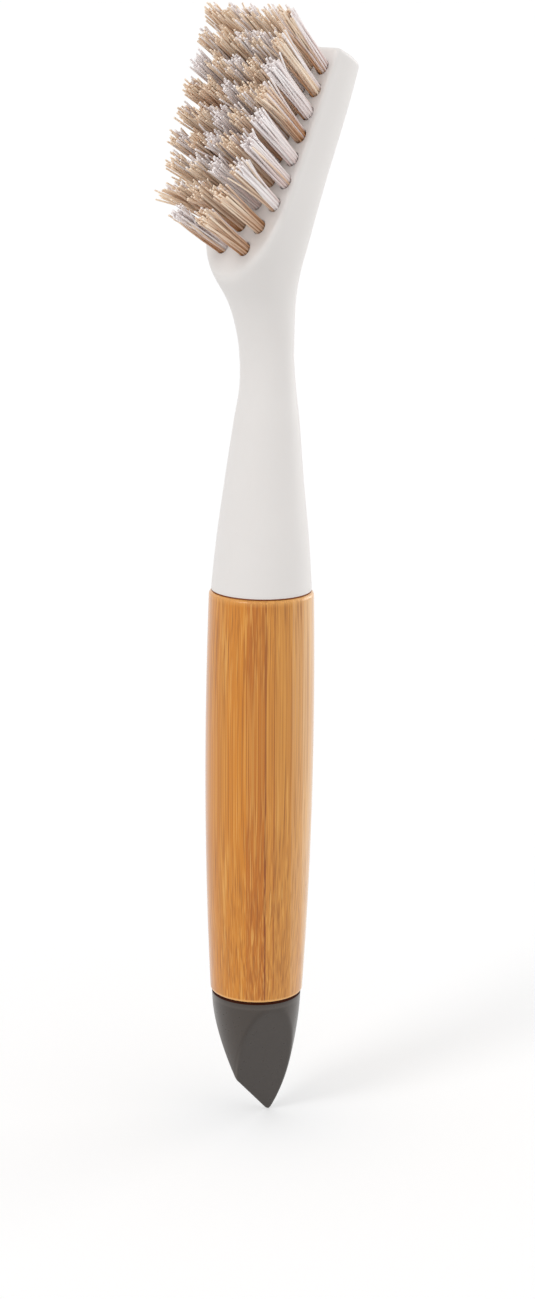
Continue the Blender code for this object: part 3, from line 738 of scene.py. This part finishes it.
filament_materials = []
for name, (dark, light) in FILAMENT_TONES.items():
    nylon, finish = new_material(name)
    shade = add_node(nylon, "ShaderNodeAttribute", "Fac", {}, attribute_name="filament_tone_and_painted_light")
    tint = add_node(nylon, "ShaderNodeMix", "Result_Color", {
        "Factor_Float": shade, "A_Color": colour(dark), "B_Color": colour(light)}, data_type='RGBA')
    feed(finish, {"Base Color": tint, "Roughness": 0.4, "IOR": 1.53, "Subsurface Weight": 0.2,
                  "Subsurface Radius": (1.0, 1.0, 1.0), "Subsurface Scale": NYLON_LIGHT_DEPTH})
    filament_materials.append(nylon)

chance = np.random.default_rng(TUFT_SEED)
cad_low, cad_high = (np.array(corner) for corner in cad_box)
for row, column, spot, turn, length in tuft_places():
    grid = filament_grid(chance)
    rings = filament_rings(grid, length, chance)
    if (row, column) == SPLAYED_TUFT:
        rings = splayed(rings, grid)
    points, faces = skin(kept_in_box(rings @ turn.T + spot, cad_low, cad_high))
    kind = np.where(white_ones(grid, WHITE_SHARES[row][column], chance), 0, 1)
    quads = (rings.shape[1] - 1) * FILAMENT_SIDES
    tuft = add_mesh(f"bristles_r{row + 1}_c{column + 1}", points, faces, filament_materials,
                    FILAMENT_SHARP_EDGE)
    tuft.data.polygons.foreach_set("material_index", np.concatenate((np.repeat(kind, quads), kind, kind)))
    # Stores each ring's shade: the filament's own tone and the painted tip light
    paint(tuft, "filament_tone_and_painted_light", np.repeat(tones_with_painted_tip_light(len(grid), chance), FILAMENT_SIDES))
    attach(tuft, "root")
    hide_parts(f"tuft_r{row + 1}_c{column + 1}")

# Scraper tip
# An ogive moulded from grey polypropylene and cut by two flats, which meet in a slanted scraping edge with
# its point to the back. A ribbed spigot on top is pressed, with glue, into the grip's lower bore.
OGIVE_TOP = GRIP_LOW.z - SEAM
# The ogive is measured from its solid's top, and its rim lies lower, a seam below the wood
SCRAPER_TOP = GRIP_BOTTOM - SEAM
SCRAPER_ROUNDING = 0.4 * MM
OGIVE_LENGTH = 33.3 * MM
OGIVE_POWER = 1.73
OGIVE_SET_BACK = 1.3 * MM
BLADE_EDGE_DROP = 22.75 * MM
BLADE_EDGE_SLOPE = math.radians(45.0)
BLADE_HALF_ANGLE = math.radians(31.3)
BLADE_EDGE_REACH = 0.3 * MM
RIDGE_REACH = 0.35 * MM
POINT_DROP = 26.25 * MM
POINT_REACH = 1.0 * MM
SCRAPER_COLUMNS = 256
SCRAPER_ROWS = 110
DEPTHS_TRIED = 20001


def scraper_sides(points):
    """Distances of points outside the ogive and outside the blade of two flats.

    The ogive's radius shrinks by the depth's share to a power. Each flat leans from the slanted edge by
    the blade's half angle.
    """
    x, y, z = np.moveaxis(points, -1, 0)
    narrowing = (np.maximum(OGIVE_TOP - z, 0) / OGIVE_LENGTH) ** OGIVE_POWER
    outline = np.hypot(x, y - OGIVE_SET_BACK * narrowing) - SCRAPER_RADIUS * (1 - narrowing)
    below_edge = (-y * math.sin(BLADE_EDGE_SLOPE)
                  - (z - OGIVE_TOP + BLADE_EDGE_DROP) * math.cos(BLADE_EDGE_SLOPE))
    right, left = (side * x * math.cos(BLADE_HALF_ANGLE) + below_edge * math.sin(BLADE_HALF_ANGLE)
                   for side in (1, -1))
    return outline, smooth_max(right, left, BLADE_EDGE_REACH)


def scraper_field(points):
    """Distance of points outside the scraper: outside its ogive, its blade and its blunted point."""
    outline, blade = scraper_sides(points)
    return smooth_max(smooth_max(blade, outline, RIDGE_REACH), OGIVE_TOP - POINT_DROP - points[..., 2],
                      POINT_REACH)


def scraper_middle(drop):
    """Middle of the scraper's level section at a depth, halfway from its front or edge to its back."""
    narrowing = (drop / OGIVE_LENGTH) ** OGIVE_POWER
    radius, centre = SCRAPER_RADIUS * (1 - narrowing), OGIVE_SET_BACK * narrowing
    front = np.maximum(centre - radius, (drop - BLADE_EDGE_DROP) / math.tan(BLADE_EDGE_SLOPE))
    return np.stack((0 * drop, (front + centre + radius) / 2, OGIVE_TOP - drop), axis=-1)


def scraper_skin(angles):
    """Level rings of the scraper from its point to its top, closer together towards the point.

    Their depths are shares of the greatest one whose middle lies inside: sines of a quarter turn.
    """
    depths = np.linspace(0, OGIVE_LENGTH, DEPTHS_TRIED)
    lowest = depths[scraper_field(scraper_middle(depths)) < 0].max()
    share = np.sin(np.linspace(np.pi / 2, 0, SCRAPER_ROWS))
    drop = mix(OGIVE_TOP - SCRAPER_TOP + SCRAPER_ROUNDING, lowest, share)
    directions = np.stack((np.cos(angles), np.sin(angles), 0 * angles), axis=-1)[None]
    return cast(scraper_field, scraper_middle(drop)[:, None],
                np.repeat(directions, SCRAPER_ROWS, axis=0), 2 * SCRAPER_RADIUS)


# Satin moulded polypropylene: warm dark grey, soft and light where it turns away, with painted highlights
# on the blade's front ridges and in a band below the rim, and painted shade that leaves the flats darker
# than the ogive. Real scuffs are finer than the 0.9 mm at which they show here.
TIP_TONES = ("#342B24", "#393029")
PAINTED_HIGHLIGHT_TONE = "#665E58"
TIP_CLOUD_SIZE = 6 * MM
SCUFF_SIZE = 0.9 * MM
TIP_ROUGHNESS = (0.27, 0.34)
# Painted highlight on the blade's front ridges: its width, its fade towards the back and where it starts
RIDGE_HIGHLIGHT_WIDTH = 0.4 * MM
RIDGE_HIGHLIGHT_FADE = 4.0 * MM
RIDGE_HIGHLIGHT_START = 6.0 * MM
# Painted highlight in a band below the rim, where the rounding would catch the light
RIM_BAND_DROP = 1.0 * MM
RIM_BAND_WIDTH = 1.2 * MM
RIM_BAND_SHARE = 0.4
# Share of painted light that leaves the ogive paler than the flats, which face down and away from the light
OGIVE_LIGHT_SHARE = 0.15


def scraper_painted_light(points):
    """Painted light on the plastic, 0 to 1: highlights along the blade's front ridges and below the rim.

    It falls off with the distance from the ridge, where the ogive and a flat are equally near, and with
    the distance from the middle of the band. The ogive is painted a little paler than the flats, which
    face down and away from the light.
    """
    outline, blade = scraper_sides(points)
    ridge = 1 - smooth_step(0, RIDGE_HIGHLIGHT_WIDTH, np.abs(outline - blade))
    front = 1 - smooth_step(-RIDGE_HIGHLIGHT_FADE, 0, points[..., 1])
    front *= smooth_step(RIDGE_HIGHLIGHT_START, BLADE_EDGE_DROP, OGIVE_TOP - points[..., 2])
    band = 1 - smooth_step(0, RIM_BAND_WIDTH / 2, np.abs(SCRAPER_TOP - RIM_BAND_DROP - points[..., 2]))
    ogive_light = smooth_step(0, RIDGE_REACH, outline - blade)
    return np.maximum(np.maximum(ridge * front, RIM_BAND_SHARE * band), OGIVE_LIGHT_SHARE * ogive_light)


polypropylene, finish = new_material("satin_moulded_grey_polypropylene")
place = add_node(polypropylene, "ShaderNodeTexCoord", "Object", {})
clouds = add_node(polypropylene, "ShaderNodeTexNoise", "Fac", {
    "Vector": place, "Scale": 1 / TIP_CLOUD_SIZE, "Detail": 3.0})
body = add_node(polypropylene, "ShaderNodeMix", "Result_Color", {
    "Factor_Float": clouds, "A_Color": colour(TIP_TONES[0]), "B_Color": colour(TIP_TONES[1])},
    data_type='RGBA')
# Mixes in the painted highlights and the painted paler ogive
painted_light_share = add_node(polypropylene, "ShaderNodeAttribute", "Fac", {}, attribute_name="painted_scraper_light")
with_painted_light = add_node(polypropylene, "ShaderNodeMix", "Result_Color", {
    "Factor_Float": painted_light_share, "A_Color": body, "B_Color": colour(PAINTED_HIGHLIGHT_TONE)}, data_type='RGBA')
scuffs = add_node(polypropylene, "ShaderNodeTexNoise", "Fac", {
    "Vector": place, "Scale": 1 / SCUFF_SIZE, "Detail": 3.0})
roughness = add_node(polypropylene, "ShaderNodeMapRange", "Result", {
    "Value": scuffs, "From Min": NOISE_LOW, "From Max": NOISE_HIGH,
    "To Min": TIP_ROUGHNESS[0], "To Max": TIP_ROUGHNESS[1]})
feed(finish, {"Base Color": with_painted_light, "Roughness": roughness, "IOR": 1.49, "Sheen Weight": 0.24,
              "Sheen Roughness": 0.45})

angles = around(SCRAPER_COLUMNS)
scraper_rings = np.concatenate((
    scraper_skin(angles),
    rounded_shoulder(SCRAPER_RADIUS, SCRAPER_TOP, SCRAPER_ROUNDING, -1, angles)[-2::-1],
    spigot(SCRAPER_TOP, SCRAPER_TOP + SCRAPER_SPIGOT_LENGTH, angles)))
scraper = add_mesh("moulded_scraper", *skin(scraper_rings), [polypropylene])
paint(scraper, "painted_scraper_light", scraper_painted_light(scraper_rings).ravel())
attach(scraper, "root")
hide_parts("scraper_tip")

# Studio
# A white paper floor that runs on past the horizon under a white sky, a soft key light from the left, a
# weak fill from the right and a rim light from behind. Seen directly or reflected, floor and sky are white.
FLOOR_SIZE = 30.0
FLOOR_COLOUR = "#E7E7E7"
FLOOR_GLOW = 0.215
SKY_LIGHT = 0.80
WHITE = 1.0
# Lamps: strength in units of pi, and size, turn and elevation in degrees
LAMPS = {"key_light": (0.20, 18, 0, 40), "fill_light": (0.035, 60, 95, 30),
         "rim_light": (0.28, 40, 168, 10)}


def seen_white(owner):
    """1 for camera, glossy and transmission rays, and 0 for the rays that light the object."""
    path = add_node(owner, "ShaderNodeLightPath", "Is Camera Ray", {}).node.outputs
    seen = add_node(owner, "ShaderNodeMath", "Value", {
        "Value": path["Is Camera Ray"], "Value_001": path["Is Glossy Ray"]}, operation='MAXIMUM')
    return add_node(owner, "ShaderNodeMath", "Value", {
        "Value": seen, "Value_001": path["Is Transmission Ray"]}, operation='MAXIMUM')


def add_sun(name, strength, size, turn, elevation):
    """Soft distant lamp: a turn of 0 shines from -Y and one of 90 degrees from +X."""
    lamp = bpy.data.lights.new(name, 'SUN')
    lamp.energy = strength * math.pi
    lamp.angle = math.radians(size)
    sun = bpy.data.objects.new(name, lamp)
    sun.rotation_euler = (math.pi / 2 - math.radians(elevation), 0.0, math.radians(turn))
    bpy.context.scene.collection.objects.link(sun)


paper, finish = new_material("matt_white_paper")
glow = add_node(paper, "ShaderNodeMath", "Value", {
    "Value": seen_white(paper), "Value_001": FLOOR_GLOW}, operation='MULTIPLY')
feed(finish, {"Base Color": colour(FLOOR_COLOUR), "Roughness": 1.0, "Specular IOR Level": 0.0,
              "Emission Color": colour("#FFFFFF"), "Emission Strength": glow})
corners = np.array(((-1, -1, 0), (1, -1, 0), (1, 1, 0), (-1, 1, 0))) * FLOOR_SIZE / 2
floor = add_mesh("studio_floor", corners + (0, 0, cad_low[2]), [(0, 1, 2, 3)], [paper])

world = bpy.data.worlds.new("studio_sky")
world.use_nodes = True
bpy.context.scene.world = world
sky = add_node(world, "ShaderNodeMapRange", "Result", {
    "Value": seen_white(world), "To Min": SKY_LIGHT, "To Max": WHITE})
feed(world.node_tree.nodes["Background"], {"Color": colour("#FFFFFF"), "Strength": sky})
for name, values in LAMPS.items():
    add_sun(name, *values)

# Camera
# It stands between the +X and the -Y side, a little above the head, and looks down on the brush. The
# picture is upright, so the sensor's width spans its height.
PHOTO_HEIGHT = 1299
FOCAL_PIXELS = 2820
SENSOR_WIDTH = 36.0
CAMERA_TURN = math.radians(45)
CAMERA_PITCH = math.radians(14)
CAMERA_ROLL = math.radians(0.79)
CAMERA_DISTANCE = 497.0 * MM
CAMERA_SIDE_STEP = 1.24 * MM
CAMERA_HEIGHT = 150.4 * MM

camera_data = bpy.data.cameras.new("camera")
camera_data.sensor_width = SENSOR_WIDTH
camera_data.lens = FOCAL_PIXELS / PHOTO_HEIGHT * SENSOR_WIDTH
camera_data.clip_end = FLOOR_SIZE
camera = bpy.data.objects.new("camera", camera_data)
camera.matrix_world = (Matrix.Rotation(CAMERA_TURN, 4, 'Z')
                       @ Matrix.Translation((CAMERA_SIDE_STEP, -CAMERA_DISTANCE, CAMERA_HEIGHT))
                       @ Matrix.Rotation(math.pi / 2 - CAMERA_PITCH, 4, 'X')
                       @ Matrix.Rotation(CAMERA_ROLL, 4, 'Z'))
bpy.context.scene.collection.objects.link(camera)
bpy.context.scene.camera = camera
bpy.context.scene.view_settings.view_transform = 'Standard'
